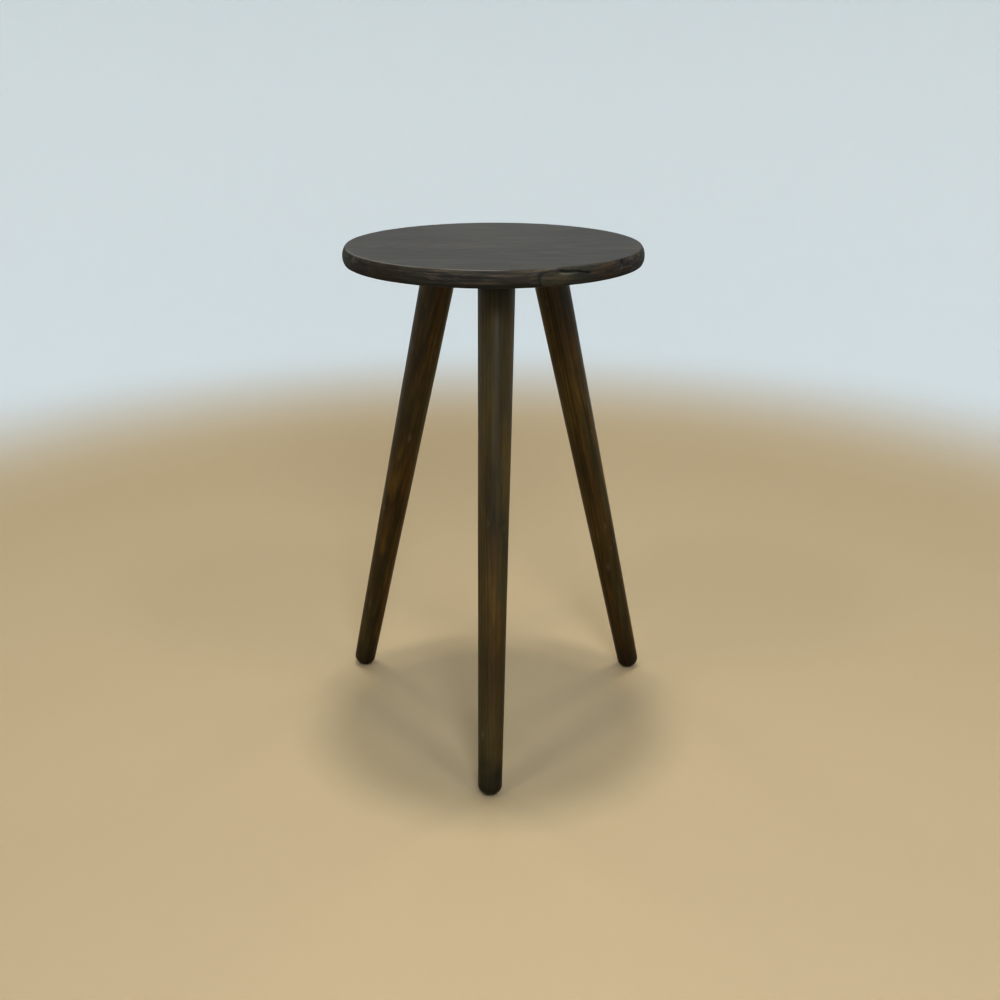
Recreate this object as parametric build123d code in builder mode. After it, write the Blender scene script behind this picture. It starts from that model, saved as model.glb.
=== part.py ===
from build123d import *
import os
from math import asin, cos, sin

# A round wooden stool on three splayed, tapered legs. Units are millimetres and +Z is up.
# The origin is on the floor, under the centre of the seat, and the front leg points along -Y.
# Each leg is held to a slanted steel plate under the seat by a hanger bolt.

# Seat: edge-glued boards whose grain runs along X
seat_diameter = 290.0
overall_height = 500.0  # floor to the top of the seat
seat_thickness = 16.0
belly_drop = 8.7  # depth of the edge's widest line below the top
top_inset = 3.0  # how far the top arris stands in from the widest line
bottom_inset = 2.0  # the same at the underside
glue_lines = [-87.0, -29.0, 29.0, 87.0]  # y of each joint between two boards

# Legs: turned to a taper, with a rounded foot
leg_top_reach = 59.0  # centre of the seat to the leg's axis, at the underside
leg_foot_reach = 178.5  # centre of the seat to the leg's axis, on the floor
leg_top_diameter = 35.0
leg_foot_diameter = 23.0
leg_top_chamfer = 1.0
foot_rounding = 9.0
# name: direction from the centre in degrees, and how far the top sits anticlockwise of it
legs = {"front": (-90.0, 4.5), "right": (30.0, 0.0), "left": (150.0, 0.0)}

# Slanted leg plates: a flat flange, and a pressed cup whose pad is square to the leg
plate_width = 56.0
plate_corner = 8.0
plate_gauge = 2.5
cup_diameter = 31.0
cup_rounding = 3.0
collar_diameter = 13.0  # tapped collar inside the cup
collar_height = 3.0
plate_gap = 0.5  # between the flange and the nearest corner of the leg

# Hanger bolts: machine thread in the plate's collar, wood thread in the leg
bolt_diameter = 8.0
bolt_in_leg = 32.0
bolt_point = 6.0
bolt_past_collar = 2.0
bolt_chamfer = 1.0
bolt_room = 2.0  # clearance round the collar and past the bolt's end, in the seat

# Countersunk wood screws, four to a plate
screw_spacing = 40.0
screw_diameter = 3.5
screw_head_diameter = 7.0
screw_length = 12.0
screw_point = 3.0
recess_span = 3.8
recess_slot = 0.9
recess_depth = 1.5

seat_radius = seat_diameter / 2
underside = overall_height - seat_thickness
leg_top_radius = leg_top_diameter / 2
leg_foot_radius = leg_foot_diameter / 2
foot_round = min(foot_rounding, leg_foot_radius - 0.5)  # the end keeps a small flat
cup_radius = cup_diameter / 2


class LegPlace:
    """Where one leg meets the seat, and the distances along its axis from the underside."""

    def __init__(self, direction, aside):
        self.top = Vector(leg_top_reach, aside, underside).rotate(Axis.Z, direction)
        foot = Vector(leg_foot_reach, 0, 0).rotate(Axis.Z, direction)
        down = (foot - self.top).normalized()
        lean = Vector(down.X, down.Y, 0).normalized()
        splay = asin(lean.dot(down))
        self.axis = Axis(self.top, down)
        # a plane through the axis, with y running down the leg and x towards its outer side
        outward = Vector(lean.X * cos(splay), lean.Y * cos(splay), sin(splay))
        self.section = Plane(self.top, x_dir=outward, z_dir=outward.cross(down))
        # the underside, with z running down from it and x the way the leg leans
        self.flange = Plane(self.top, x_dir=lean, z_dir=(0, 0, -1))
        # the pad is low enough to keep the leg's high corner clear of the flange
        self.pad = (plate_gauge + plate_gap + leg_top_radius * sin(splay)) / cos(splay)
        # the lowest point of the rounded foot touches the floor
        taper = (leg_top_radius - leg_foot_radius) / (underside / cos(splay) - self.pad)
        end_flat = leg_foot_radius - foot_round * (1 - taper)
        lift = foot_round * (1 - cos(splay)) + end_flat * sin(splay)
        self.end = (underside - lift) / cos(splay)
        self.bolt_tip = self.pad - plate_gauge - collar_height - bolt_past_collar
        self.bolt_rise = bolt_diameter / 2 * sin(splay) - self.bolt_tip * cos(splay)

    def turned(self, *points, easing=0.0, mode=Mode.ADD):
        """Revolves an outline of (radius, depth) points about the axis; easing rounds its foot corner."""
        with BuildSketch(self.section) as outline:
            Polygon(*points, align=None)
            if easing:
                fillet(outline.vertices().sort_by(lambda v: v.X + v.Y)[-1], easing)
        revolve(outline.sketch, axis=self.axis, mode=mode)


places = {name: LegPlace(*place) for name, place in legs.items()}
half = screw_spacing / 2
corners = [(x, y) for x in (-half, half) for y in (-half, half)]
screw_places = {
    name: [place.flange.location * Location((x, y, plate_gauge)) for x, y in corners]
    for name, place in places.items()
}
all_screw_places = [spot for spots in screw_places.values() for spot in spots]

os.makedirs("parts", exist_ok=True)


def write(piece, name):
    """Labels a finished piece and writes its STEP file."""
    piece.label = name
    export_step(piece, f"parts/{name}.step")


# A wood screw, its head's face at the origin and its shank along -Z
head_depth = (screw_head_diameter - screw_diameter) / 2
with BuildPart() as screw_form:
    with BuildSketch(Plane.XZ):
        Polygon(
            (0, 0),
            (screw_head_diameter / 2, 0),
            (screw_diameter / 2, -head_depth),
            (screw_diameter / 2, screw_point - screw_length),
            (0, -screw_length),
            align=None,
        )
    revolve(axis=Axis.Z)

with BuildPart() as screw:
    add(screw_form.part)
    with BuildSketch():
        Rectangle(recess_span, recess_slot)
        Rectangle(recess_slot, recess_span)
    extrude(amount=-recess_depth, mode=Mode.SUBTRACT)

with BuildPart() as plate_screws:
    with Locations(*all_screw_places):
        add(screw.part)
write(plate_screws.part, "plate_screws")

# Hanger bolts, one up each leg's axis
bolts = {}
for name, place in places.items():
    radius = bolt_diameter / 2
    end = place.pad + bolt_in_leg
    with BuildPart() as bolt:
        place.turned(
            (0, place.bolt_tip),
            (radius - bolt_chamfer, place.bolt_tip),
            (radius, place.bolt_tip + bolt_chamfer),
            (radius, end - bolt_point),
            (0, end),
        )
    bolts[name] = bolt.part

with BuildPart() as hanger_bolts:
    add(bolts.values())
write(hanger_bolts.part, "hanger_bolts")

# Leg plates, each flat against the underside
for name, place in places.items():
    above = -cup_diameter  # high enough for the cup to pass the underside all round
    floor = place.pad - plate_gauge  # inner face of the cup's pad
    bore = cup_radius - plate_gauge
    with BuildPart() as plate:
        with BuildSketch(place.flange):
            RectangleRounded(plate_width, plate_width, plate_corner)
        extrude(amount=plate_gauge)
        cup = [(0, above), (cup_radius, above), (cup_radius, place.pad), (0, place.pad)]
        place.turned(*cup, easing=cup_rounding)
        hollow = [(0, above), (bore, above), (bore, floor), (0, floor)]
        place.turned(*hollow, easing=cup_rounding - plate_gauge, mode=Mode.SUBTRACT)
        collar = collar_diameter / 2
        rim = floor - collar_height
        place.turned((0, rim), (collar, rim), (collar, floor), (0, floor))
        split(bisect_by=Plane.XY.offset(underside), keep=Keep.BOTTOM)
        add(bolts[name], mode=Mode.SUBTRACT)
        with Locations(*screw_places[name]):
            add(screw_form.part, mode=Mode.SUBTRACT)
    write(plate.part, f"leg_plate_{name}")

# Legs, each with its end square against the plate's pad
for name, place in places.items():
    with BuildPart() as leg:
        place.turned(
            (0, place.pad),
            (leg_top_radius - leg_top_chamfer, place.pad),
            (leg_top_radius, place.pad + leg_top_chamfer),
            (leg_foot_radius, place.end),
            (0, place.end),
            easing=foot_round,
        )
        add(bolts[name], mode=Mode.SUBTRACT)
    write(leg.part, f"leg_{name}")

# The seat as one disc, with its screw holes and the room for each bolt's end
with BuildPart() as seat:
    with BuildSketch(Plane.XZ):
        with BuildLine():
            belly = (seat_radius, overall_height - belly_drop)
            top_arris = (seat_radius - top_inset, overall_height)
            bottom_arris = (seat_radius - bottom_inset, underside)
            TangentArc(belly, top_arris, tangent=(0, 1))
            Polyline(top_arris, (0, overall_height), (0, underside), bottom_arris)
            TangentArc(belly, bottom_arris, tangent=(0, -1))
        make_face()
    revolve(axis=Axis.Z)
    for place in places.values():
        with BuildSketch(place.flange):
            Circle(collar_diameter / 2 + bolt_room)
        extrude(amount=-(place.bolt_rise + bolt_room), mode=Mode.SUBTRACT)
    with Locations(*all_screw_places):
        add(screw_form.part, mode=Mode.SUBTRACT)

# The boards that it is glued up from, numbered from the front
edges_of_boards = [-seat_diameter, *glue_lines, seat_diameter]
for number, (near, far) in enumerate(zip(edges_of_boards, edges_of_boards[1:]), start=1):
    with BuildPart() as board:
        add(seat.part)
        with Locations((0, (near + far) / 2, underside)):
            Box(2 * seat_diameter, far - near, 4 * seat_thickness, mode=Mode.INTERSECT)
    write(board.part, f"seat_board_{number}")
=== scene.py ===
"""A round wooden stool: a seat of five glued softwood boards on three turned, splayed legs.

The steel leg plates, hanger bolts and screws are the CAD parts with a better finish. The
boards and the legs are rebuilt from the same sizes as dense meshes, so that their grain,
worn edges, knot and dents are real shape. Sizes are millimetres until a mesh is made.
"""

import math

import bmesh
import bpy
import numpy as np
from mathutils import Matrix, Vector


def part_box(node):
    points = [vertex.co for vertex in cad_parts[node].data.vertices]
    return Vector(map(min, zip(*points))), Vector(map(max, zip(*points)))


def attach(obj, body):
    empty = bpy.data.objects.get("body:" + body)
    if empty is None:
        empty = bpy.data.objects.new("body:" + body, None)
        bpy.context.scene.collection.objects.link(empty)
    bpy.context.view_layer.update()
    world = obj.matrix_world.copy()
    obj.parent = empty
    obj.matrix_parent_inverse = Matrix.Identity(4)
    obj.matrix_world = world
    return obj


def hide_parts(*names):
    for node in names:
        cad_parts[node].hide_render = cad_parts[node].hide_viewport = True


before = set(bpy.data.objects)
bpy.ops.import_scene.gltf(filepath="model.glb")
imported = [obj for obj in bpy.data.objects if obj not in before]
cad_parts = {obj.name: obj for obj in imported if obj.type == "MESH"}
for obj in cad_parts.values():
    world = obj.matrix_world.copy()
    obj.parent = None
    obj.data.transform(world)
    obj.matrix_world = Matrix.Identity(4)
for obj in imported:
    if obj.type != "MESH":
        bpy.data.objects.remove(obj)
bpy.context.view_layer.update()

MM = 0.001

# Seat, as the CAD model has it
BELLY_DROP = 8.7  # the edge's widest line, below the top
TOP_INSET = 3.0  # how far the arrises stand in from it
BOTTOM_INSET = 2.0

# Legs, as the CAD model has them
LEG_TOP_REACH = 59.0
LEG_FOOT_REACH = 178.5
LEG_TOP_RADIUS = 17.5
LEG_FOOT_RADIUS = 11.5
LEG_TOP_CHAMFER = 1.0
FOOT_ROUNDING = 9.0
BOLT_RADIUS = 4.0
BOLT_IN_LEG = 32.0
BOLT_POINT = 6.0
# name: direction from the centre in degrees, how far the top sits anticlockwise of it, and
# how much of the leg took the stain's olive tint
LEGS = {"front": (-90.0, 4.5, 0.5), "right": (30.0, 0.0, 0.0), "left": (150.0, 0.0, 0.1)}

boards = sorted(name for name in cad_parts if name.startswith("seat_board_"))
board_boxes = [[np.array(corner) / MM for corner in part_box(name)] for name in boards]
SEAT_RADIUS = max(high[0] for low, high in board_boxes)
SEAT_TOP = max(high[2] for low, high in board_boxes)
UNDERSIDE = min(low[2] for low, high in board_boxes)
THICKNESS = SEAT_TOP - UNDERSIDE
glue_lines = [high[1] for low, high in board_boxes[:-1]]


# --- Smooth random values, and meshes made of rings ---------------------------------------


def wander(points, sizes, seed, waves=28):
    """Smooth random values, mostly from -1 to 1, whose swells are about as long as sizes say."""
    random = np.random.default_rng(seed)
    turns = random.normal(size=(waves, 3)) * 2.2 / np.array(sizes, float)
    phases = random.uniform(0, 2 * math.pi, waves)
    return np.sin(points @ turns.T + phases).sum(axis=1) / math.sqrt(waves)


def smooth(low, high, value):
    """0 below low, 1 above high, and an easy curve between them."""
    share = np.clip((value - low) / (high - low), 0, 1)
    return share * share * (3 - 2 * share)


def stitch(first, second):
    """The faces between two closed rings of corners, one of which may have twice as many."""
    a, b = len(first), len(second)
    faces = []
    for i in range(min(a, b)):
        if a == b:
            j = (i + 1) % a
            faces.append((first[i], second[i], second[j], first[j]))
        elif b == 2 * a:
            j, k = (i + 1) % a, 2 * i
            faces.append((first[i], second[k], second[k + 1]))
            faces.append((first[i], second[k + 1], first[j]))
            faces.append((first[j], second[k + 1], second[(k + 2) % b]))
        elif a == 2 * b:
            j, k = (i + 1) % b, 2 * i
            faces.append((first[k], second[i], first[k + 1]))
            faces.append((first[k + 1], second[i], second[j]))
            faces.append((first[k + 1], second[j], first[(k + 2) % a]))
    if a == 1:
        faces = [(first[0], second[i], second[(i + 1) % b]) for i in range(b)]
    if b == 1:
        faces = [(first[i], second[0], first[(i + 1) % a]) for i in range(a)]
    return faces


def shell(rings):
    """Corners and faces of a shell through rings of points, from one tip to the other."""
    starts = np.cumsum([0] + [len(ring) for ring in rings])
    numbers = [list(range(a, b)) for a, b in zip(starts, starts[1:])]
    faces = [face for pair in zip(numbers, numbers[1:]) for face in stitch(*pair)]
    return np.concatenate(rings), faces


def turns(count):
    """The angles of a ring's corners."""
    return np.arange(count) * 2 * math.pi / count


def make_piece(name, mesh, points, marks, node, material):
    """Puts a finished mesh in the scene in place of a CAD node. marks are values for its material."""
    mesh.vertices.foreach_set("co", (points * MM).ravel())
    for mark, values in marks.items():
        kind = "FLOAT_VECTOR" if values.ndim == 2 else "FLOAT"
        layer = mesh.attributes.new(mark, kind, "POINT")
        layer.data.foreach_set("vector" if values.ndim == 2 else "value", values.ravel())
    mesh.update()
    piece = bpy.data.objects.new(name, mesh)
    bpy.context.scene.collection.objects.link(piece)
    mesh.materials.append(material)
    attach(piece, "root")
    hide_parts(node)


def corners_of(mesh):
    """A mesh's corners as rows of x, y and z."""
    values = np.zeros(len(mesh.vertices) * 3)
    mesh.vertices.foreach_get("co", values)
    return values.reshape(-1, 3)


# --- Materials ----------------------------------------------------------------------------


def linear(hex_colour):
    """An sRGB hex colour as the linear RGBA that a shader takes."""
    parts = [int(hex_colour[i : i + 2], 16) / 255 for i in (1, 3, 5)]
    return (*(p / 12.92 if p <= 0.04045 else ((p + 0.055) / 1.055) ** 2.4 for p in parts), 1.0)


def new_material(name):
    """An empty material, its node tree and its shader."""
    material = bpy.data.materials.new(name)
    material.use_nodes = True
    return material, material.node_tree, material.node_tree.nodes["Principled BSDF"]


def add(tree, kind, inputs=(), **settings):
    """Adds a node. inputs gives its sockets, each a value or the socket that feeds it."""
    made = tree.nodes.new("ShaderNode" + kind)
    for name, value in settings.items():
        setattr(made, name, value)
    for socket, value in dict(inputs).items():
        if isinstance(value, bpy.types.NodeSocket):
            tree.links.new(value, made.inputs[socket])
        else:
            made.inputs[socket].default_value = value
    return made


MIX = {"data_type": "RGBA"}  # its sockets: 0 the factor, 6 and 7 the colours, and out of 2
EASE = {"interpolation_type": "SMOOTHSTEP"}


def late_wood(tree, ring):
    """How far each year's ring has darkened: a slow rise, a quick return, and uneven years."""
    part = add(tree, "Math", {0: ring}, operation="FRACT").outputs[0]
    rise = add(
        tree, "MapRange", {"Value": part, "From Min": 0.30, "From Max": 0.86}, **EASE
    ).outputs[0]
    fall = add(
        tree,
        "MapRange",
        {"Value": part, "From Min": 0.90, "From Max": 1.0, "To Min": 1.0, "To Max": 0.0},
        **EASE,
    ).outputs[0]
    year = add(tree, "Math", {0: ring}, operation="FLOOR").outputs[0]
    vigour = add(tree, "TexWhiteNoise", {"W": year}, noise_dimensions="1D").outputs["Value"]
    strength = add(tree, "MapRange", {"Value": vigour, "To Min": 0.35, "To Max": 1.0}).outputs[0]
    late = add(tree, "Math", {0: rise, 1: fall}, operation="MULTIPLY").outputs[0]
    return add(tree, "Math", {0: late, 1: strength}, operation="MULTIPLY").outputs[0]


def streaks(tree, grain, sizes, detail, roughness=0.55):
    """Noise stretched along the grain. sizes are mm along the grain, across it and up."""
    stretch = [1 / (size * MM) for size in sizes]
    place = add(tree, "Mapping", {"Vector": grain, "Scale": stretch}).outputs[0]
    settings = {"Vector": place, "Scale": 1.0, "Detail": detail, "Roughness": roughness}
    return add(tree, "TexNoise", settings).outputs["Fac"]


def stained_wood(name, finish):
    """Softwood or hardwood under a dark wiped stain and thin satin lacquer.

    The eye gets soft early wood between harder, darker late wood, fine fibres along the
    grain, a dull sheen at low angles, dark streaks in the sawn edge with painted shade on
    its lower half, and pale arrises, partly bare from wear and partly a painted highlight.
    What differs from place to place comes from values kept in the mesh, painted shade among them.
    """
    material, tree, shader = new_material(name)
    marks = {
        title: add(tree, "Attribute", attribute_name=title).outputs["Fac"]
        for title in (
            "ring", "knot", "bark", "wear_and_highlight", "dirt_and_shade", "rust", "olive", "end", "edge", "tone_and_shade"
        )
    }
    grain = add(tree, "Attribute", attribute_name="grain").outputs["Vector"]
    late = late_wood(tree, marks["ring"])
    bands = streaks(tree, grain, finish["bands"], 3.0)
    fibres = streaks(tree, grain, finish["fibres"], 4.0, 0.65)
    clouds = streaks(tree, grain, (70, 26, 26), 2.0)
    tints = streaks(tree, grain, (130, 9, 9), 2.0)
    grooves = streaks(tree, grain, (45, 16, 2.4), 3.0, 0.6)  # where the saw tore the edge
    saw_marks = streaks(tree, grain, (1.4, 1.4, 14), 2.0)  # up and down the end grain
    specks = streaks(tree, grain, (3.2, 3.2, 3.2), 3.0, 0.7)  # rubbed spots on the end grain

    # The clear wood: its years, then broad bands and tints, then fibres and cloudy stain
    colour = add(tree, "Mix", {0: late, 6: finish["early"], 7: finish["late"]}, **MIX).outputs[2]
    for source, low, high, shade in (
        (bands, 0.42, 0.66, "band"),
        (tints, 0.52, 0.74, "rust"),
        (tints, 0.46, 0.30, "olive"),
    ):
        share = add(
            tree,
            "MapRange",
            {"Value": source, "From Min": low, "From Max": high, "To Max": 0.75},
            **EASE,
        ).outputs[0]
        colour = add(tree, "Mix", {0: share, 6: colour, 7: finish[shade]}, **MIX).outputs[2]
    for source, low, high in ((fibres, 0.55, 1.45), (clouds, 0.62, 1.38)):
        factor = add(
            tree,
            "MapRange",
            {"Value": source, "From Min": 0.3, "From Max": 0.7, "To Min": low, "To Max": high},
        ).outputs[0]
        colour = add(
            tree, "Mix", {0: 1.0, 6: colour, 7: factor}, blend_type="MULTIPLY", **MIX
        ).outputs[2]

    # Pale and dark streaks on the sawn edge, and dark saw marks and pale specks on end grain
    for source, where, low, high, much, shade in (
        (grooves, "edge", 0.50, 0.36, 0.75, "pale_mark"),
        (grooves, "edge", 0.50, 0.62, 0.75, "dirt_and_shade"),
        (late, "edge", 0.15, 0.85, 0.30, "dirt_and_shade"),
        (saw_marks, "end", 0.46, 0.60, 0.75, "dirt_and_shade"),
        (specks, "end", 0.52, 0.66, 0.75, "pale_mark"),
    ):
        share = add(
            tree,
            "MapRange",
            {"Value": source, "From Min": low, "From Max": high, "To Max": much},
            **EASE,
        ).outputs[0]
        share = add(tree, "Math", {0: share, 1: marks[where]}, operation="MULTIPLY").outputs[0]
        colour = add(tree, "Mix", {0: share, 6: colour, 7: finish[shade]}, **MIX).outputs[2]

    # Each board's own tone, with painted shade on the seat edge's lower half and a painted seat
    # shadow on the legs' tops, and stained patches
    colour = add(
        tree, "Mix", {0: 1.0, 6: colour, 7: marks["tone_and_shade"]}, blend_type="MULTIPLY", **MIX
    ).outputs[2]
    for title in ("rust", "olive"):
        share = add(
            tree, "Math", {0: marks[title], 1: finish["patch"]}, operation="MULTIPLY"
        ).outputs[0]
        colour = add(tree, "Mix", {0: share, 6: colour, 7: finish[title]}, **MIX).outputs[2]

    # The knot, streaked as the edge is, then bark, then pale wear with a painted highlight, and dirt
    # with painted shade over everything
    inside = add(
        tree, "MapRange", {"Value": marks["knot"], "From Min": 1.08, "From Max": 0.92}, **EASE
    ).outputs[0]
    inside = add(
        tree, "Math", {0: inside, 1: finish["knot_cover"]}, operation="MULTIPLY"
    ).outputs[0]
    swing = add(
        tree, "MapRange", {"Value": grooves, "From Min": 0.40, "From Max": 0.60}, **EASE
    ).outputs[0]
    knot_colour = add(
        tree, "Mix", {0: swing, 6: finish["knot"], 7: finish["knot_late"]}, **MIX
    ).outputs[2]
    colour = add(tree, "Mix", {0: inside, 6: colour, 7: knot_colour}, **MIX).outputs[2]
    for title, shade in (("bark", "dirt_and_shade"), ("wear_and_highlight", "wear_and_highlight"), ("dirt_and_shade", "dirt_and_shade")):
        colour = add(tree, "Mix", {0: marks[title], 6: colour, 7: finish[shade]}, **MIX).outputs[2]
    tree.links.new(colour, shader.inputs["Base Color"])

    # The lacquer sinks into open fibres and the sawn edge, and stays glossier on late wood
    glossy, matt = finish["roughness"]
    dull = add(
        tree,
        "MapRange",
        {"Value": fibres, "From Min": 0.3, "From Max": 0.7, "To Min": glossy, "To Max": matt},
    ).outputs[0]
    for source, change in ((marks["edge"], finish["edge_dulling"]), (late, -0.06)):
        dull = add(
            tree, "Math", {0: source, 1: change, 2: dull}, operation="MULTIPLY_ADD"
        ).outputs[0]
    tree.links.new(dull, shader.inputs["Roughness"])
    shader.inputs["IOR"].default_value = 1.5
    shader.inputs["Specular IOR Level"].default_value = finish["gloss"]

    # Raised late wood and fibres, a few hundredths of a millimetre
    relief = add(tree, "Math", {0: late, 1: 0.5}, operation="MULTIPLY").outputs[0]
    relief = add(tree, "Math", {0: relief, 1: fibres}, operation="ADD").outputs[0]
    bump = add(
        tree, "Bump", {"Height": relief, "Strength": finish["bump"], "Distance": 0.08 * MM}
    ).outputs[0]
    tree.links.new(bump, shader.inputs["Normal"])
    return material


# Colours, how much patches and the knot cover, pattern sizes in mm along, across and up, the
# roughness of glossy and matt spots, how much duller the edge is, and the relief's strength
SEAT_FINISH = {
    "early": linear("#3a342b"),
    "late": linear("#1e160e"),
    "band": linear("#28231b"),
    "rust": linear("#34240f"),
    "olive": linear("#343223"),
    "pale_mark": linear("#5a4c3a"),
    "knot": linear("#423c28"),
    "knot_late": linear("#2e291a"),
    # pale grey of bare wood at worn spots, and the painted highlight on the front arris and the
    # split's lip
    "wear_and_highlight": linear("#77736a"),
    # near black of dirt, bark and dark grain, and the painted shade in the split, the pit and along
    # the back arris
    "dirt_and_shade": linear("#0b0806"),
    "patch": 0.55,
    "knot_cover": 0.72,
    "bands": (120.0, 11.0, 11.0),
    "fibres": (26.0, 1.1, 1.1),  # real ones are under 0.05 mm wide, so these are drawn coarser
    "roughness": (0.40, 0.52),
    "edge_dulling": 0.3,
    "gloss": 0.5,
    "bump": 0.8,
}
LEG_FINISH = {
    **SEAT_FINISH,
    "early": linear("#523c0d"),
    "late": linear("#2c2006"),
    "band": linear("#2b2107"),
    "rust": linear("#4d3006"),
    "olive": linear("#3d391e"),
    "pale_mark": linear("#3a2c12"),
    "bands": (150.0, 6.0, 6.0),
    "fibres": (22.0, 0.9, 0.9),  # drawn coarser too
    "roughness": (0.36, 0.50),
    "gloss": 0.4,
}


def plated_steel(name, base, roughness, crystal):
    """Pressed or turned steel with a thin zinc coat: grey-blue, softly mottled, half dull."""
    material, tree, shader = new_material(name)
    place = add(tree, "TexCoord").outputs["Object"]
    flakes = add(
        tree, "TexVoronoi", {"Vector": place, "Scale": 1 / (crystal * MM)}
    ).outputs["Color"]
    mottle = add(tree, "RGBToBW", {"Color": flakes}).outputs[0]
    smudge = add(
        tree, "TexNoise", {"Vector": place, "Scale": 1 / (14 * MM), "Detail": 4.0}
    ).outputs["Fac"]
    shade = add(
        tree, "MapRange", {"Value": mottle, "To Min": 0.82, "To Max": 1.0}
    ).outputs[0]
    colour = add(
        tree, "Mix", {0: 1.0, 6: linear(base), 7: shade}, blend_type="MULTIPLY", **MIX
    ).outputs[2]
    tree.links.new(colour, shader.inputs["Base Color"])
    dull = add(
        tree,
        "MapRange",
        {
            "Value": smudge,
            "From Min": 0.3,
            "From Max": 0.7,
            "To Min": roughness - 0.08,
            "To Max": roughness + 0.12,
        },
    ).outputs[0]
    tree.links.new(dull, shader.inputs["Roughness"])
    shader.inputs["Metallic"].default_value = 1.0
    bump = add(
        tree, "Bump", {"Height": smudge, "Strength": 0.3, "Distance": 0.1 * MM}
    ).outputs[0]
    tree.links.new(bump, shader.inputs["Normal"])
    return material


seat_wood = stained_wood("stained_pine", SEAT_FINISH)
leg_wood = stained_wood("stained_turned_hardwood", LEG_FINISH)
plate_zinc = plated_steel("zinc_plated_pressed_steel", "#a9adb0", 0.38, 2.5)
bolt_zinc = plated_steel("zinc_plated_fastener_steel", "#b9b6a4", 0.30, 1.2)

FAR_FROM_KNOT = 9.0  # what the knot value is on wood that has none

# --- Seat ---------------------------------------------------------------------------------

RING_CORNERS = 960  # round the edge, about 0.95 mm apart
TOP_STEP = 1.0
BOTTOM_STEP = 2.4
EDGE_ROWS = 18
ARRIS_ROWS = 8
LOWER_ARRIS_ROWS = 5
EASING_ROOM = 5.0  # the band along the top's rim where its rings bend to follow the arris

# Each board from the front: its pith's y from the seat's centre and depth below the top,
# how the pith climbs along x, the width of a ring, and its tone
PITHS = [
    (-104.0, 38.0, 0.010, 2.3, 1.00),
    (-52.0, 60.0, 0.045, 2.9, 0.94),
    (-13.0, 46.0, 0.085, 3.1, 1.06),
    (148.0, 30.0, 0.020, 3.0, 0.90),
    (100.0, 64.0, -0.050, 2.8, 1.02),
]

# What shows on the edge, by azimuth in degrees (-90 is the front) and depth below the top
KNOT = (-66.0, 9.4)
KNOT_SIZE = (19.0, 7.0)  # half its length round the edge and half its height
SPLIT = (-65.8, -51.0, 2.6, 6.8)  # from and to, and its depth below the top at each end
SPLIT_DEEP = 1.9
PIT = (-34.9, 3.2)
PIT_SIZE = 2.1
PIT_DEEP = 1.8
CHIP_ENDS = (-42.0, -33.0)  # the chipped arris starts at the split and dies away between these
CHIP_WIDTH = 2.2
ARRIS_HIGHLIGHT_ENDS = (-66.0, -64.0)  # the pale arris, partly wear and partly a painted highlight, comes round from the left and stops here

# How far the surface lies in from the CAD shape
EARLY_WOOD_WEAR = 0.07
UNEVENNESS = 0.05
SURFACE_IN = 0.03  # everywhere, so that nothing stands out past the CAD shape
JOINT_GROOVE = 0.05

# Stained patches on the edge: from, to, rust, olive, darkening
PATCHES = [
    (-151.0, -140.0, 0.1, 0.0, 0.45),
    (-140.0, -122.0, 0.9, 0.0, 0.35),
    (-122.0, -110.0, 0.0, 0.8, 0.45),
    (-88.0, -75.0, 0.45, 0.0, 0.0),
    (-64.0, -51.0, 0.0, 0.7, 0.0),
    (-51.0, -35.0, 0.85, 0.0, 0.0),
]


def arc_radius(drop, rise):
    """The radius of an arc that starts upright and reaches drop in and rise along."""
    return (drop * drop + rise * rise) / (2 * drop)


def edge_reach(depth):
    """How far the edge stands out from the centre at a depth below the top."""
    upper_arc = arc_radius(TOP_INSET, BELLY_DROP)
    lower_arc = arc_radius(BOTTOM_INSET, THICKNESS - BELLY_DROP)
    arc = np.where(depth < BELLY_DROP, upper_arc, lower_arc)
    away = depth - BELLY_DROP
    return SEAT_RADIUS - arc + np.sqrt(np.maximum(arc * arc - away * away, 0))


def eased(before, corner, after, rows):
    """Rows of points that round a corner, from one point to the other."""
    for share in np.linspace(0, 1, rows):
        keep = 1 - share
        yield [
            keep * keep * a + 2 * keep * share * c + share * share * b
            for a, c, b in zip(before, corner, after)
        ]


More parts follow.
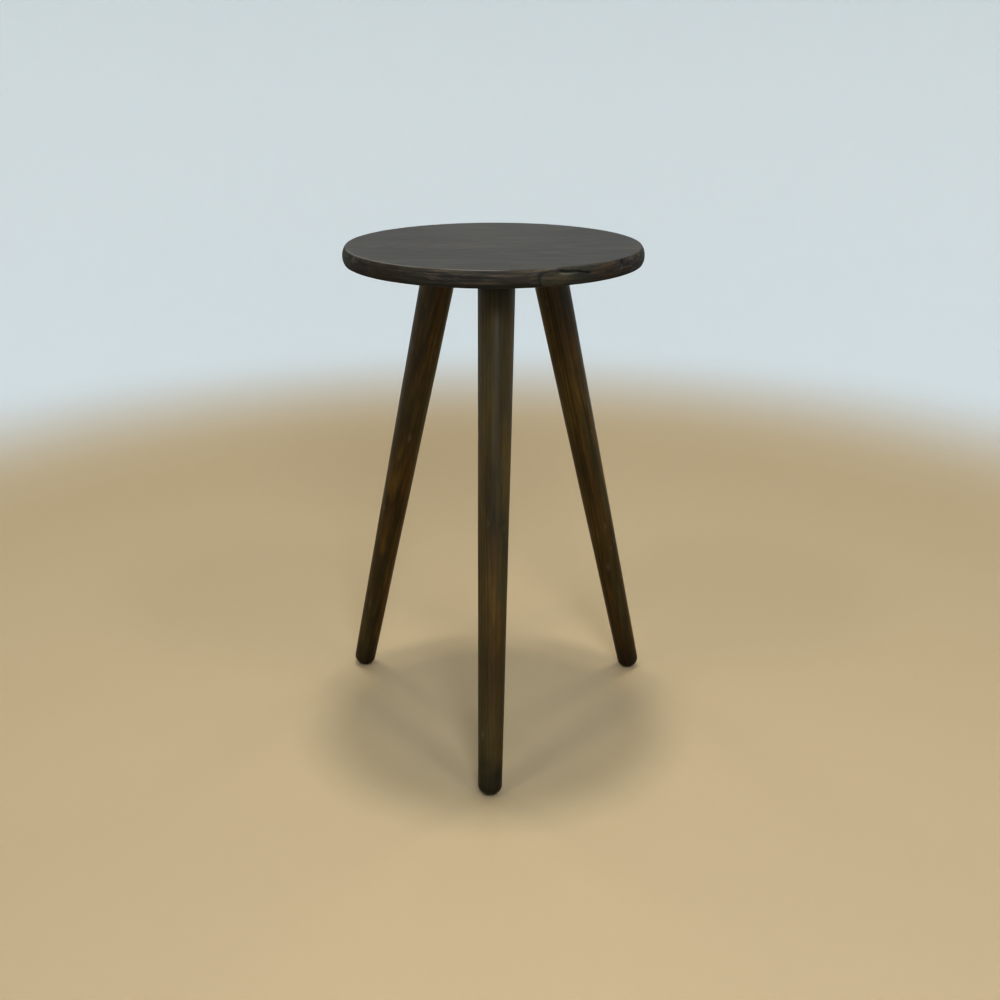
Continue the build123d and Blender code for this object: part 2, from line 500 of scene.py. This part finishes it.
def seat_rings():
    """Rings of points over the whole seat, from the top's centre to the underside's."""
    rings = []

    def ring(radius, height):
        finest = math.log2(SEAT_RADIUS / max(np.max(radius), 0.01))
        count = max(RING_CORNERS >> max(int(finest), 0), 15) if np.max(radius) > 0 else 1
        angle = turns(count)
        radius = np.broadcast_to(radius, count)
        height = np.broadcast_to(height, count)
        rings.append(np.stack([radius * np.cos(angle), radius * np.sin(angle), height], 1))

    angle = turns(RING_CORNERS)
    rim = np.stack([np.cos(angle), np.sin(angle), 0 * angle], 1) * SEAT_RADIUS
    top_ease = 0.75 + 0.22 * wander(rim, (60, 60, 60), 11) + 0.08 * wander(rim, (9, 9, 9), 12)
    degrees = np.degrees((angle + math.pi) % (2 * math.pi) - math.pi)
    chipped = smooth(SPLIT[0], SPLIT[0] + 5, degrees) * (1 - smooth(*CHIP_ENDS, degrees))
    chip = (CHIP_WIDTH + 0.3 * wander(rim, (9, 9, 9), 14)) * chipped
    top_ease = np.clip(top_ease, 0.35, 1.3) + chip
    bottom_ease = 0.6 + 0.12 * wander(rim, (40, 40, 40), 13)
    arris = SEAT_RADIUS - TOP_INSET
    lower_arris = SEAT_RADIUS - BOTTOM_INSET

    ring(0, SEAT_TOP)
    inner = arris - EASING_ROOM
    for radius in np.arange(TOP_STEP, inner, TOP_STEP):
        ring(radius, SEAT_TOP)
    for share in np.linspace(0, 1, int(EASING_ROOM / TOP_STEP))[:-1]:
        ring(inner + (EASING_ROOM - top_ease) * share, SEAT_TOP)
    below = top_ease
    for radius, depth in eased(
        (arris - top_ease, 0 * top_ease),
        (arris + 0 * top_ease, 0 * top_ease),
        (edge_reach(below), below),
        ARRIS_ROWS,
    ):
        ring(radius, SEAT_TOP - depth)
    above = THICKNESS - bottom_ease
    for share in np.linspace(0, 1, EDGE_ROWS + 1)[1:]:
        depth = below + (above - below) * share
        ring(edge_reach(depth), SEAT_TOP - depth)
    for radius, depth in list(
        eased(
            (edge_reach(above), above),
            (lower_arris + 0 * above, THICKNESS + 0 * above),
            (lower_arris - bottom_ease, THICKNESS + 0 * above),
            LOWER_ARRIS_ROWS,
        )
    )[1:]:
        ring(radius, SEAT_TOP - depth)
    for radius in np.arange(lower_arris - 3.0, BOTTOM_STEP, -BOTTOM_STEP):
        ring(radius, UNDERSIDE)
    ring(0, UNDERSIDE)
    return rings


def knot_distance(points):
    """How far points are from the knot's middle, as a share of its size: 1 at its rim."""
    azimuth, depth = KNOT
    across = np.array([math.cos(math.radians(azimuth)), math.sin(math.radians(azimuth))])
    along = np.array([-across[1], across[0]])
    side = points[:, :2] @ along / KNOT_SIZE[0]
    height = (points[:, 2] - SEAT_TOP + depth) / KNOT_SIZE[1]
    inward = np.maximum(0, SEAT_RADIUS - 14 - points[:, :2] @ across) / 6
    return np.sqrt(side**2 + height**2 + inward**2), height


def board_field(points, number):
    """The ring count at points of a board: whole numbers are the ends of years."""
    pith_y, pith_depth, climb, width, _ = PITHS[number]
    away_y = points[:, 1] - pith_y - 0.02 * points[:, 0]
    away_z = points[:, 2] - SEAT_TOP + pith_depth - climb * points[:, 0]
    distance = np.hypot(away_y, away_z)
    distance += 1.5 * wander(points, (150, 60, 60), 20 + number)
    distance += 0.45 * wander(points, (48, 14, 14), 30 + number)
    distance += 0.10 * wander(points, (16, 5, 5), 40 + number)
    if number == 0:  # the grain swells round the knot
        far, height = knot_distance(points)
        distance += 2.6 * np.sign(height) * np.exp(-far * far / 2.6) * smooth(0, 0.6, abs(height))
    rings = distance / width
    return rings + 0.35 * np.sin(rings * 0.9 + number) + 0.25 * np.sin(rings * 0.37 + 2 * number)


def early_wood(rings):
    """1 in the soft early wood and 0 on the hard late wood, in an easy wave."""
    return 0.5 + 0.5 * np.cos(2 * math.pi * (rings - 0.80))


def cut_board(whole, number, name):
    """One board's closed mesh, cut out of the whole seat between its glue lines."""
    low, high = board_boxes[number][0][1], board_boxes[number][1][1]
    cut = whole.copy()
    outside = [face for face in cut.faces if not low < face.calc_center_median().y < high]
    bmesh.ops.delete(cut, geom=outside, context="FACES")
    open_edges = [edge for edge in cut.edges if edge.is_boundary]
    bmesh.ops.holes_fill(cut, edges=open_edges, sides=0)
    for face in cut.faces:
        face.smooth = True
    for face in cut.faces:
        if len(face.verts) > 4 and abs(face.normal.y) > 0.99:  # a flat glued side
            face.smooth = False
            for edge in face.edges:
                edge.smooth = False
    mesh = bpy.data.meshes.new(name)
    cut.to_mesh(mesh)
    cut.free()
    return mesh


def knot_and_split(points, azimuth, depth, reach, on_edge):
    """How deep the front board's knot and split sink its surface, and the marks they leave."""
    far, _ = knot_distance(points)
    knot = far + 0.14 * wander(points, (11, 11, 5), 61) + 0.05 * wander(points, (4, 4, 2), 62)
    left = 1 - smooth(KNOT[0] - 6, KNOT[0] + 1, azimuth)  # bark stayed on the knot's left
    bark = np.exp(-(((knot - 1) / 0.12) ** 2)) * (0.15 + 0.85 * left) * on_edge
    sink = 0.45 * bark

    start, end, first, last = SPLIT
    share = (azimuth - start) / (end - start)
    line = first + (last - first) * share + 0.4 * np.sin(share * 9)
    line += 0.3 * wander(points, (5, 5, 40), 63)
    ends = smooth(0, 0.10, share) * (1 - smooth(0.80, 1, share))
    width = 0.75 + 0.3 * wander(points, (7, 7, 40), 64)
    near_rim = reach > SEAT_RADIUS - 4
    gash = ends * np.exp(-(((depth - line) / width) ** 2)) * near_rim
    sink += SPLIT_DEEP * gash
    notch = np.exp(-(((azimuth - start - 2.6) / 1.3) ** 2)) * (depth < line)
    sink += 0.8 * notch * near_rim
    # The lip above the split is painted pale: a painted highlight along it, with some wear
    lip = ends * np.exp(-(((depth - line - 1.7) / 0.7) ** 2)) * on_edge
    wear_and_highlight = 0.4 * lip * (1 - smooth(0.25, 0.6, share))
    # The split is painted dark as well as sunk: painted shade in the crack, with dirt
    return sink, {"knot": knot, "bark": 0.9 * bark, "dirt_and_shade": gash, "wear_and_highlight": wear_and_highlight}


def stained_patches(points, azimuth, on_edge):
    """The rust, olive and dark patches on the edge, with ragged ends."""
    ragged = azimuth + 2.2 * wander(points, (30, 30, 3.5), 71)
    rust, olive, dark = (np.zeros(len(points)) for _ in range(3))
    for start, end, much_rust, much_olive, much_dark in PATCHES:
        here = smooth(start - 2, start + 3, ragged) * (1 - smooth(end - 3, end + 2, ragged))
        here *= on_edge
        rust += much_rust * here
        olive += much_olive * here
        dark += much_dark * here
    return rust, olive, dark


def make_board(whole, number, name):
    """One board: cut out of the whole seat, then given its relief and its marks."""
    mesh = cut_board(whole, number, name)
    points = corners_of(mesh)
    azimuth = np.degrees(np.arctan2(points[:, 1], points[:, 0]))
    reach = np.hypot(points[:, 0], points[:, 1])
    depth = SEAT_TOP - points[:, 2]
    on_edge = smooth(SEAT_RADIUS - 3.4, SEAT_RADIUS - 2.6, reach)
    on_edge *= smooth(0.0, 0.9, depth) * smooth(0, 0.6, THICKNESS - depth)
    on_top = (depth < 0.01).astype(float)
    ring = board_field(points, number)

    # The way in from the surface: down from the top, up from below, and inwards on the edge
    way_in = np.zeros_like(points)
    way_in[:, 2] = np.where(depth < THICKNESS / 2, -1, 1) * (1 - on_edge)
    way_in[:, :2] = -(points[:, :2] / np.maximum(reach, 1)[:, None]) * on_edge[:, None]

    # Early wood worn lower than late wood, a slow unevenness, and a groove along each joint
    joint = np.min([abs(points[:, 1] - line) for line in glue_lines], axis=0)
    sink = EARLY_WOOD_WEAR * early_wood(ring) * smooth(0.0, 3.0, joint)
    sink += SURFACE_IN + UNEVENNESS * (1 + wander(points, (90, 45, 45), 50))
    sink += JOINT_GROOVE * (1 - smooth(0.0, 0.8, joint)) * on_top
    rust, olive, dark = stained_patches(points, azimuth, on_edge)
    marks = {
        "ring": ring,
        "grain": points * MM + np.array([0.37, 0.11, 0.23]) * (number + 1),
        "knot": np.full(len(points), FAR_FROM_KNOT),
        "bark": np.zeros(len(points)),
        "wear_and_highlight": np.zeros(len(points)),
        "dirt_and_shade": 0.35 * (1 - smooth(0.2, 1.0, joint)) * on_top,
        "rust": rust,
        "olive": olive,
        "end": on_edge * smooth(0.55, 0.9, abs(points[:, 0]) / SEAT_RADIUS),
        "edge": on_edge,
    }
    if number == 0:
        deeper, found = knot_and_split(points, azimuth, depth, reach, on_edge)
        sink += deeper
        for mark, values in found.items():
            marks[mark] = values if mark == "knot" else np.maximum(marks[mark], values)
    if number < 2:  # the pit lies near the joint of the first two boards
        along = np.radians(azimuth - PIT[0]) * SEAT_RADIUS
        pit = np.exp(-((np.hypot(along, 0.8 * (depth - PIT[1])) / PIT_SIZE) ** 2))
        pit *= reach > SEAT_RADIUS - 5
        sink += PIT_DEEP * pit
        # The pit is painted dark as well as sunk: painted shade in its hollow, with dirt
        marks["dirt_and_shade"] = np.maximum(marks["dirt_and_shade"], smooth(0.2, 0.6, pit))

    # The arris: pale from the left round to the split, partly bare from wear and partly a painted
    # highlight, and painted shade along the back
    pale_mark = np.exp(-(((depth - 0.3) / 0.35) ** 2)) * smooth(
        SEAT_RADIUS - TOP_INSET - 1.1, SEAT_RADIUS - TOP_INSET - 0.3, reach
    )
    pale_mark *= np.clip(0.55 + 0.5 * wander(points, (22, 22, 22), 72), 0.05, 1)
    pale_mark *= 1 - smooth(*ARRIS_HIGHLIGHT_ENDS, azimuth)
    marks["wear_and_highlight"] = np.maximum(marks["wear_and_highlight"], 0.75 * pale_mark)
    back_arris_shade = smooth(-40, -26, points[:, 1]) * (reach > SEAT_RADIUS - TOP_INSET - 1.2)
    marks["dirt_and_shade"] = np.maximum(marks["dirt_and_shade"], 0.6 * back_arris_shade * (depth < 1.2))

    under_edge_shade = on_edge * smooth(BELLY_DROP, THICKNESS, depth)  # painted shade: the edge's lower half darkens where it turns under
    marks["tone_and_shade"] = PITHS[number][4] * (1 - dark) * (1 - 0.8 * under_edge_shade)
    points += way_in * np.maximum(sink, 0)[:, None]
    make_piece(f"seat_{name}", mesh, points, marks, name, seat_wood)


seat_points, seat_faces = shell(seat_rings())
whole_seat = bmesh.new()
uncut = bpy.data.meshes.new("uncut_seat")
uncut.from_pydata(seat_points, [], seat_faces)
whole_seat.from_mesh(uncut)
bpy.data.meshes.remove(uncut)
for line in glue_lines:
    bmesh.ops.bisect_plane(
        whole_seat,
        geom=whole_seat.verts[:] + whole_seat.edges[:] + whole_seat.faces[:],
        dist=0.02,
        plane_co=(0, line, 0),
        plane_no=(0, 1, 0),
    )
for number, name in enumerate(boards):
    make_board(whole_seat, number, name)
whole_seat.free()

# --- Legs ---------------------------------------------------------------------------------

LEG_CORNERS = 112
LEG_STEP = 2.4
LEG_PITH = 34.0  # how far to one side of the leg the tree's pith was
LEG_RING_WIDTH = 3.3
DENTS = 14
SMALLEST_DENT = (2.0, 1.0, 0.12)  # half its length, half its width and its depth
LARGEST_DENT = (6.0, 2.4, 0.35)
LEG_EARLY_WOOD_WEAR = 0.05
LEG_UNEVENNESS = 0.06
MOST_LEG_WEAR = 0.5


def leg_outline(pad, end):
    """Radius and depth of each ring: out of the bolt's bore, over the top, down to the foot.

    Depths are along the leg. pad is where it meets its plate and end is the foot's tip.
    """
    slope = (LEG_TOP_RADIUS - LEG_FOOT_RADIUS) / (end - pad - LEG_TOP_CHAMFER)
    round_depth = end - FOOT_ROUNDING
    round_centre = (
        LEG_TOP_RADIUS
        - slope * (round_depth - pad - LEG_TOP_CHAMFER)
        - FOOT_ROUNDING * math.hypot(1, slope)
    )
    outline = [(0, pad + BOLT_IN_LEG), (BOLT_RADIUS, pad + BOLT_IN_LEG - BOLT_POINT)]
    outline += [(BOLT_RADIUS, pad + BOLT_POINT), (BOLT_RADIUS, pad)]
    outline += [(radius, pad) for radius in (8.0, 12.0, LEG_TOP_RADIUS - LEG_TOP_CHAMFER)]
    outline += [(LEG_TOP_RADIUS - 0.5, pad + 0.35), (LEG_TOP_RADIUS - 0.12, pad + 0.8)]
    start = pad + LEG_TOP_CHAMFER
    turned = round_depth + FOOT_ROUNDING * math.sin(math.atan(slope))
    for depth in np.linspace(start + 0.4, turned, int((turned - start) / LEG_STEP)):
        outline.append((LEG_TOP_RADIUS - slope * (depth - start), depth))
    for angle in np.linspace(math.atan(slope), math.pi / 2, 15)[1:]:
        radius = round_centre + FOOT_ROUNDING * math.cos(angle)
        outline.append((radius, round_depth + FOOT_ROUNDING * math.sin(angle)))
    return outline + [(round_centre * 0.5, end), (0, end)]


def make_leg(name, number, direction, aside, tint):
    """One turned leg, from its square top against the plate to its rounded foot."""
    node = f"leg_{name}"
    turn = math.radians(direction)
    out = np.array([math.cos(turn), math.sin(turn), 0.0])
    side = np.array([-out[1], out[0], 0.0])
    top = LEG_TOP_REACH * out + aside * side + np.array([0, 0, UNDERSIDE])
    down = LEG_FOOT_REACH * out - top
    down /= np.linalg.norm(down)
    outer = out - (out @ down) * down
    outer /= np.linalg.norm(outer)
    across = np.cross(-down, outer)
    reached = (corners_of(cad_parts[node].data) / MM - top) @ down
    pad, end = reached.min(), reached.max()

    # Points as (along the leg, out, across), then the same in the stool's frame
    angle = turns(LEG_CORNERS)
    rings = []
    for radius, depth in leg_outline(pad, end):
        around = angle if radius > 0 else np.zeros(1)
        rings.append(
            np.stack(
                [np.full(len(around), depth), radius * np.cos(around), radius * np.sin(around)], 1
            )
        )
    local, faces = shell(rings)
    mesh = bpy.data.meshes.new(node)
    mesh.from_pydata(np.zeros_like(local), [], faces)

    # The blank was sawn off the pith, so its rings cross the leg nearly straight
    random = np.random.default_rng(300 + number)
    pith_turn = random.uniform(0, 2 * math.pi)
    pith = LEG_PITH * np.array([math.cos(pith_turn), math.sin(pith_turn)])
    lean = random.normal(0, 0.018, 2)
    section = local[:, 1:] - pith + lean * local[:, :1]
    distance = np.hypot(section[:, 0], section[:, 1])
    distance += 1.4 * wander(local, (190, 50, 50), 310 + number)
    distance += 0.4 * wander(local, (60, 9, 9), 320 + number)
    ring = distance / LEG_RING_WIDTH

    radius = np.hypot(local[:, 1], local[:, 2])
    outside = (radius > BOLT_RADIUS + 0.1) & (local[:, 0] > pad + 0.05)
    sink = LEG_EARLY_WOOD_WEAR * early_wood(ring)
    sink += LEG_UNEVENNESS * (1 + wander(local, (60, 14, 14), 330 + number))
    wear_and_highlight = 0 * sink
    for _ in range(DENTS):
        where = np.array([random.uniform(pad + 30, end - 12), random.uniform(0, 2 * math.pi)])
        long, wide, deep = random.uniform(SMALLEST_DENT, LARGEST_DENT)
        about = (np.arctan2(local[:, 2], local[:, 1]) - where[1] + math.pi) % (2 * math.pi)
        near = ((local[:, 0] - where[0]) / long) ** 2 + (radius * (about - math.pi) / wide) ** 2
        sink += deep * np.exp(-near)
        wear_and_highlight = np.maximum(wear_and_highlight, 0.25 * np.exp(-near * 1.5))
    sink = np.clip(sink, 0, MOST_LEG_WEAR) * outside * smooth(0, 3, end - local[:, 0])
    foot = smooth(end - 50, end - 8, local[:, 0] + 5 * wander(local, (9, 9, 9), 340))
    marks = {
        "ring": ring,
        "grain": local * MM + np.array([0.5, 0.31, 0.17]) * (number + 7),
        "knot": np.full(len(local), FAR_FROM_KNOT),
        "bark": np.zeros(len(local)),
        "wear_and_highlight": wear_and_highlight,
        "dirt_and_shade": 0.6 * foot,
        "rust": np.clip(0.35 * wander(local, (120, 16, 16), 350 + number), 0, 1),
        "olive": np.clip(tint + 0.35 * wander(local, (120, 16, 16), 360 + number), 0, 1),
        "end": ((local[:, 0] < pad + 0.3) | (local[:, 0] > end - 1.5)).astype(float),
        "edge": np.zeros(len(local)),
        # painted shadow of the seat: black at the leg's top and clearing over 18 mm, then a little
        # darker towards the foot
        "tone_and_shade": smooth(pad, pad + 18, local[:, 0]) * (1 - 0.12 * smooth(150, end, local[:, 0])),
    }
    local[:, 1:] -= local[:, 1:] / np.maximum(radius, 1)[:, None] * sink[:, None]
    points = top + local[:, :1] * down + local[:, 1:2] * outer + local[:, 2:] * across
    make_piece(f"turned_{node}", mesh, points, marks, node, leg_wood)
    for face in mesh.polygons:
        face.use_smooth = True
    mesh.set_sharp_from_angle(angle=math.radians(40))


for number, (name, place) in enumerate(LEGS.items()):
    make_leg(name, number, *place)

# --- CAD parts that stay ------------------------------------------------------------------

PLATED = {"leg_plate_": plate_zinc, "hanger_bolts": bolt_zinc, "plate_screws": bolt_zinc}

for name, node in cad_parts.items():
    for start, zinc in PLATED.items():
        if name.startswith(start):
            for material_slot in node.material_slots:
                material_slot.material = zinc

# --- Studio -------------------------------------------------------------------------------

STAGE_FLAT = 850.0  # radius of the flat floor
STAGE_BEND = 950.0  # radius of the bend between floor and wall
STAGE_WALL = 2300.0  # how high the wall stands
STAGE_BLEND = 100.0  # the height over which the floor's colour becomes the wall's
ROOM_LIGHT = 0.16  # what comes evenly from all round


def make_stage():
    """A pale round floor that bends up into a pale wall, like a painted studio corner."""
    outline = [(0.0, 0.0)] + [(STAGE_FLAT * share, 0.0) for share in (0.1, 0.3, 0.6, 1.0)]
    for angle in np.linspace(0, math.pi / 2, 25)[1:]:
        outline.append(
            (STAGE_FLAT + STAGE_BEND * math.sin(angle), STAGE_BEND * (1 - math.cos(angle)))
        )
    outline.append((STAGE_FLAT + STAGE_BEND, STAGE_WALL))
    rings = []
    for radius, height in outline:
        around = turns(128) if radius else np.zeros(1)
        rings.append(
            np.stack([radius * np.cos(around), radius * np.sin(around), 0 * around + height], 1)
        )
    points, faces = shell(rings)
    mesh = bpy.data.meshes.new("studio_floor")
    mesh.from_pydata(points * MM, [], faces)
    for face in mesh.polygons:
        face.use_smooth = True
    material, tree, shader = new_material("matt_painted_floor")
    height = add(
        tree, "SeparateXYZ", {0: add(tree, "NewGeometry").outputs["Position"]}
    ).outputs["Z"]
    rise = add(
        tree,
        "MapRange",
        {"Value": height, "From Min": 0.0, "From Max": STAGE_BLEND * MM},
        **EASE,
    ).outputs[0]
    colour = add(
        tree, "Mix", {0: rise, 6: linear("#b5a384"), 7: linear("#cdd5da")}, **MIX
    ).outputs[2]
    tree.links.new(colour, shader.inputs["Base Color"])
    shader.inputs["Roughness"].default_value = 0.6
    mesh.materials.append(material)
    floor = bpy.data.objects.new("studio_floor", mesh)
    bpy.context.scene.collection.objects.link(floor)


make_stage()

world = bpy.data.worlds.new("studio_light")
world.use_nodes = True
world.node_tree.nodes["Background"].inputs["Color"].default_value = linear("#e4ebf2")
world.node_tree.nodes["Background"].inputs["Strength"].default_value = ROOM_LIGHT
bpy.context.scene.world = world
bpy.context.scene.view_settings.view_transform = "Standard"
bpy.context.scene.view_settings.look = "High Contrast"


def add_light(name, place, aim, size, power, colour):
    """A round soft light at a place, turned to face aim. size is across, and power in watts."""
    lamp = bpy.data.lights.new(name, "AREA")
    lamp.shape = "DISK"
    lamp.size = size * MM
    lamp.energy = power
    lamp.color = linear(colour)[:3]
    light = bpy.data.objects.new(name, lamp)
    light.location = Vector(place) * MM
    light.rotation_euler = (Vector(aim) - Vector(place)).to_track_quat("-Z", "Y").to_euler()
    bpy.context.scene.collection.objects.link(light)


add_light("overhead", (0, 150, 2500), (0, 0, 250), 300, 17.0, "#fff8ee")
add_light("front_left", (-1150, -1050, 2300), (0, 0, 250), 420, 5.6, "#fff8ee")
add_light("front_right", (1150, -1050, 2300), (0, 0, 250), 420, 5.6, "#fff8ee")
add_light("rear_left", (-1000, 1150, 1900), (0, 0, 250), 420, 2.2, "#fff8ee")
add_light("rear_right", (1000, 1150, 1900), (0, 0, 250), 420, 2.2, "#fff8ee")
add_light("front_panel", (230, -1450, 1330), (0, 0, 380), 480, 12.0, "#dfe8f6")

# --- Camera -------------------------------------------------------------------------------

CAMERA_PLACE = (29.9, -1211.0, 691.2)
CAMERA_DOWN = 20.56  # degrees below level
CAMERA_TURN = 1.117  # degrees anticlockwise from +Y

lens = bpy.data.cameras.new("camera")
lens.lens = 45.0
lens.sensor_width = 36.0
lens.clip_start = 0.01
camera = bpy.data.objects.new("camera", lens)
camera.location = Vector(CAMERA_PLACE) * MM
camera.rotation_euler = (math.radians(90 - CAMERA_DOWN), 0, math.radians(CAMERA_TURN))
bpy.context.scene.collection.objects.link(camera)
bpy.context.scene.camera = camera
